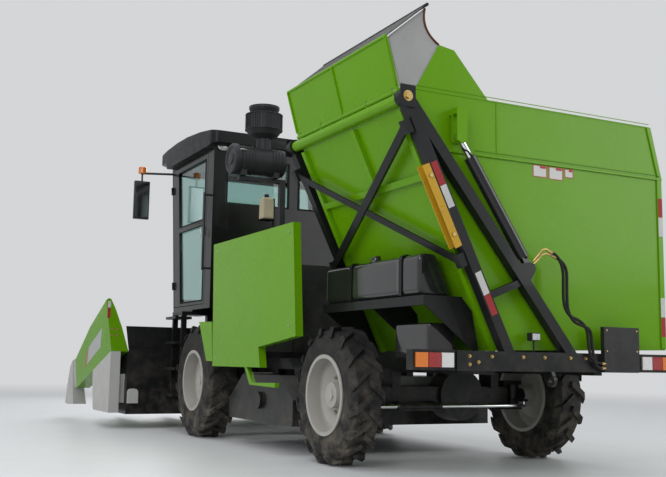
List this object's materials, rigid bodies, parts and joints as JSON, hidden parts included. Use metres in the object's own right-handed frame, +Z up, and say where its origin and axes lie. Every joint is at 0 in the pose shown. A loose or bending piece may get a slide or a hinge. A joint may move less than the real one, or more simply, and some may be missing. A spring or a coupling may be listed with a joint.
{
  "type": "corn harvester",
  "caption": "Self-propelled corn harvester with a row header, glazed cab, side-tipping ear tank on A-frames and steered rear wheels.",
  "frame": {"origin": "on the ground under the middle of the overall length and width", "axes": "+X forward towards the header, +Y to the driver's left, +Z up"},
  "size_m": [8.45, 3.7, 3.5],
  "materials": {
    "black_frame_paint": "semi-gloss",
    "green_paint": "gloss",
    "cab_paint": "gloss",
    "roof_shell": "gloss",
    "tinted_glass": "clear",
    "engine_cast": "painted",
    "seat_cover": "woven",
    "black_plastic": "matte",
    "handle_tube": "satin",
    "tank_plastic": "gloss",
    "lamp_lens": "ribbed",
    "prop_yellow": "satin",
    "tyre_rubber": "matte",
    "rim_paint": "satin",
    "worked_steel": "worn",
    "row_unit_paint": "satin",
    "snout_plastic": "satin",
    "elevator_paint": "satin",
    "canvas": "woven",
    "cylinder_paint": "gloss",
    "chromed_rod": "polished"
  },
  "bodies": {
    "chassis": {"main_frame": "black_frame_paint", "front_axle": "black_frame_paint", "rear_axle": "black_frame_paint", "engine_block": "engine_cast", "side_panels": "green_paint", "cab_shell": "cab_paint", "cab_roof": "roof_shell", "cab_glass": "tinted_glass", "driver_seat": "seat_cover", "steering_console": "black_plastic", "ladder": "black_frame_paint", "grab_handles": "handle_tube", "mirrors": "black_plastic", "air_intake": "black_plastic", "fuel_tank": "tank_plastic", "tank_shelf": "black_frame_paint", "hydraulic_reservoir": "tank_plastic", "tail_lamps": "black_frame_paint", "lamp_lenses": "lamp_lens", "tipping_frame": "black_frame_paint", "safety_prop": "prop_yellow", "valve_box": "black_frame_paint", "stalk_shredder": "black_frame_paint", "ear_elevator": "elevator_paint"},
    "shredder_rotor": {"shredder_rotor": "worked_steel"},
    "front_left_wheel": {"front_left_tyre": "tyre_rubber", "front_left_rim": "rim_paint"},
    "front_right_wheel": {"front_right_tyre": "tyre_rubber", "front_right_rim": "rim_paint"},
    "rear_left_wheel": {"rear_left_tyre": "tyre_rubber", "rear_left_rim": "rim_paint"},
    "rear_right_wheel": {"rear_right_tyre": "tyre_rubber", "rear_right_rim": "rim_paint"},
    "knuckle_left": {"steering_knuckle_left": "black_frame_paint"},
    "knuckle_right": {"steering_knuckle_right": "black_frame_paint"},
    "steering_rod": {"steering_rod": "chromed_rod"},
    "header": {"header_frame": "black_frame_paint", "feeder_house": "black_frame_paint", "row_units": "row_unit_paint", "snapping_rolls": "worked_steel", "gathering_chains": "worked_steel", "divider_hoods": "green_paint", "divider_snouts": "snout_plastic", "drive_covers": "snout_plastic"},
    "header_auger": {"header_auger": "worked_steel"},
    "lift_barrels": {"lift_barrels": "cylinder_paint"},
    "lift_rods": {"lift_rods": "chromed_rod"},
    "tank": {"cob_tank": "green_paint", "tank_gussets": "canvas"},
    "flap": {"tank_flap": "green_paint", "flap_lip": "black_plastic"},
    "tip_barrels": {"tip_barrels": "cylinder_paint"},
    "tip_rods": {"tip_rods": "chromed_rod"},
    "cab_door": {"cab_door": "cab_paint", "door_glass": "tinted_glass"}
  },
  "joints": [
    {"name": "front_left_wheel_spin", "type": "hinge", "parent": "chassis", "child": "front_left_wheel", "pos_m": [0.315, 1.04, 0.6], "axis": [0, 1, 0], "continuous": true},
    {"name": "front_right_wheel_spin", "type": "hinge", "parent": "chassis", "child": "front_right_wheel", "pos_m": [0.315, -1.04, 0.6], "axis": [0, 1, 0], "continuous": true},
    {"name": "steer_left", "type": "hinge", "parent": "chassis", "child": "knuckle_left", "pos_m": [-2.725, 0.76, 0.5525], "axis": [0, 0, 1], "range_deg": [-30, 30]},
    {"name": "steer_right", "type": "hinge", "parent": "chassis", "child": "knuckle_right", "pos_m": [-2.725, -0.76, 0.5525], "axis": [0, 0, 1], "range_deg": [-30, 30]},
    {"name": "steering_rod_slide", "type": "slide", "parent": "chassis", "child": "steering_rod", "axis": [0, 1, 0], "range_m": [-0.0905, 0.0905]},
    {"name": "rear_left_wheel_spin", "type": "hinge", "parent": "knuckle_left", "child": "rear_left_wheel", "pos_m": [-2.725, 0.995, 0.5525], "axis": [0, 1, 0], "continuous": true},
    {"name": "rear_right_wheel_spin", "type": "hinge", "parent": "knuckle_right", "child": "rear_right_wheel", "pos_m": [-2.725, -0.995, 0.5525], "axis": [0, 1, 0], "continuous": true},
    {"name": "header_lift", "type": "hinge", "parent": "chassis", "child": "header", "pos_m": [0.625, 0, 1], "axis": [0, -1, 0], "range_deg": [-1.5, 10]},
    {"name": "header_auger_spin", "type": "hinge", "parent": "header", "child": "header_auger", "pos_m": [1.925, 0, 0.47], "axis": [0, 1, 0], "continuous": true},
    {"name": "lift_barrel_swing", "type": "hinge", "parent": "chassis", "child": "lift_barrels", "pos_m": [0.505, 0, 0.52], "axis": [0, -1, 0], "range_deg": [-1.5, 9.5]},
    {"name": "lift_rod_slide", "type": "slide", "parent": "lift_barrels", "child": "lift_rods", "axis": [0.9828, 0, -0.1849], "range_m": [-0.0135, 0.086]},
    {"name": "tank_tip", "type": "hinge", "parent": "chassis", "child": "tank", "pos_m": [-3.225, 1.25, 2.655], "axis": [-1, 0, 0], "range_deg": [0, 95]},
    {"name": "flap_swing", "type": "hinge", "parent": "tank", "child": "flap", "pos_m": [-3.225, 1.262, 2.718], "axis": [-1, 0, 0], "range_deg": [0, 45]},
    {"name": "tip_barrel_swing", "type": "hinge", "parent": "chassis", "child": "tip_barrels", "pos_m": [-3.225, 0.18, 1.52], "axis": [1, 0, 0], "range_deg": [0, 5.6]},
    {"name": "tip_rod_slide", "type": "slide", "parent": "tip_barrels", "child": "tip_rods", "axis": [0, 0.5594, 0.8289], "range_m": [0, 0.752]},
    {"name": "cab_door_swing", "type": "hinge", "parent": "chassis", "child": "cab_door", "pos_m": [1.67688, 1.016, 1.458], "axis": [-0.1346, 0, -0.9909], "range_deg": [0, 75]},
    {"name": "shredder_spin", "type": "hinge", "parent": "chassis", "child": "shredder_rotor", "pos_m": [-1.225, 0, 0.45], "axis": [0, 1, 0], "continuous": true}
  ],
  "couplings": [
    {"joint": "steer_right", "follows": "steer_left", "ratio": 1},
    {"joint": "steering_rod_slide", "follows": "steer_left", "m_per_rad": -0.171},
    {"joint": "lift_barrel_swing", "follows": "header_lift", "ratio": 0.94},
    {"joint": "lift_rod_slide", "follows": "header_lift", "m_per_rad": 0.4893},
    {"joint": "tip_barrel_swing", "follows": "tank_tip", "ratio": 0.058},
    {"joint": "tip_rod_slide", "follows": "tank_tip", "m_per_rad": 0.4532}
  ]
}
